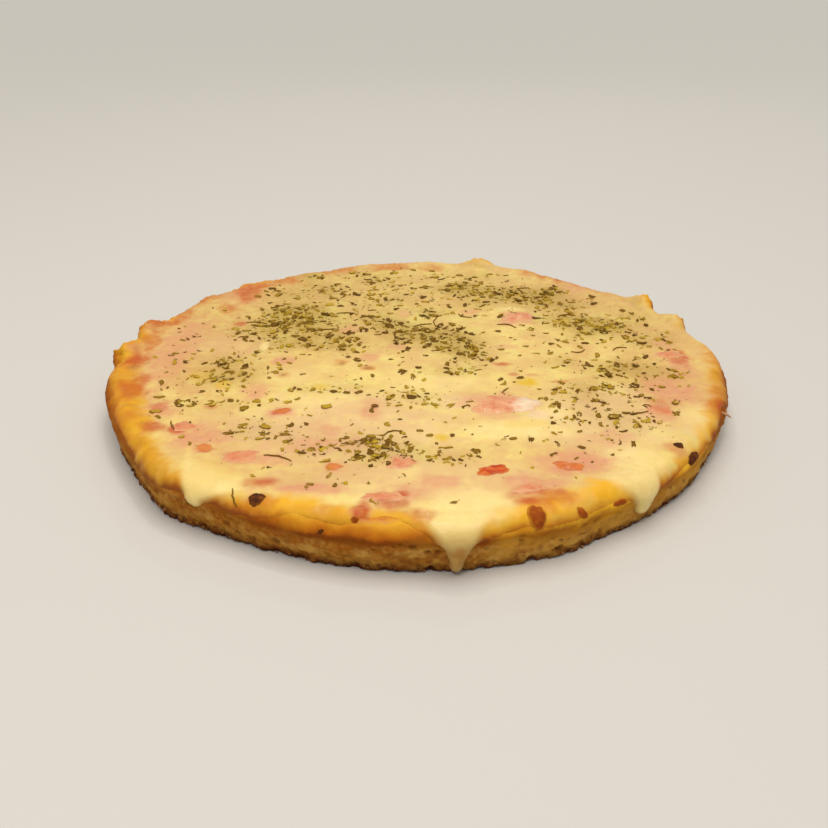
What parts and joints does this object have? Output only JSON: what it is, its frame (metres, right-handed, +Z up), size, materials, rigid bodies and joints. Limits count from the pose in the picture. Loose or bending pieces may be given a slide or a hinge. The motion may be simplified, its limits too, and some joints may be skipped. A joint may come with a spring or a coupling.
{
  "type": "skillet pizza",
  "caption": "Whole round skillet pizza: thick pan-baked dough disc with a low lip, tomato sauce, melted cheese running over the edge, ham, tomato and dried oregano.",
  "frame": {"origin": "centre of the pizza's bounding box in plan, on the surface that it lies on", "axes": "+Z up through the pizza; the front, with the longest cheese run, faces -Y"},
  "size_m": [0.2284, 0.2244, 0.0195],
  "materials": {
    "crust": "baked dough: golden and smooth on the shoulder, tan and porous at the side",
    "sauce": "moist tomato sauce, dried to orange-red at the edge",
    "cheese": "melted cheese, satin with glossy spots, pink where ham lies just under it",
    "ham": "moist cooked ham",
    "tomato": "wet tomato flesh",
    "oregano": "dry crumbled leaf, olive to brown"
  },
  "bodies": {
    "root": {"crust": "crust", "sauce": "sauce", "cheese": "cheese", "ham_1": "ham", "ham_2": "ham", "ham_3": "ham", "ham_4": "ham", "ham_5": "ham", "ham_6": "ham", "ham_7": "ham", "ham_8": "ham", "ham_9": "ham", "tomato_1": "tomato", "tomato_2": "tomato", "tomato_3": "tomato", "tomato_4": "tomato", "tomato_5": "tomato"}
  },
  "joints": []
}
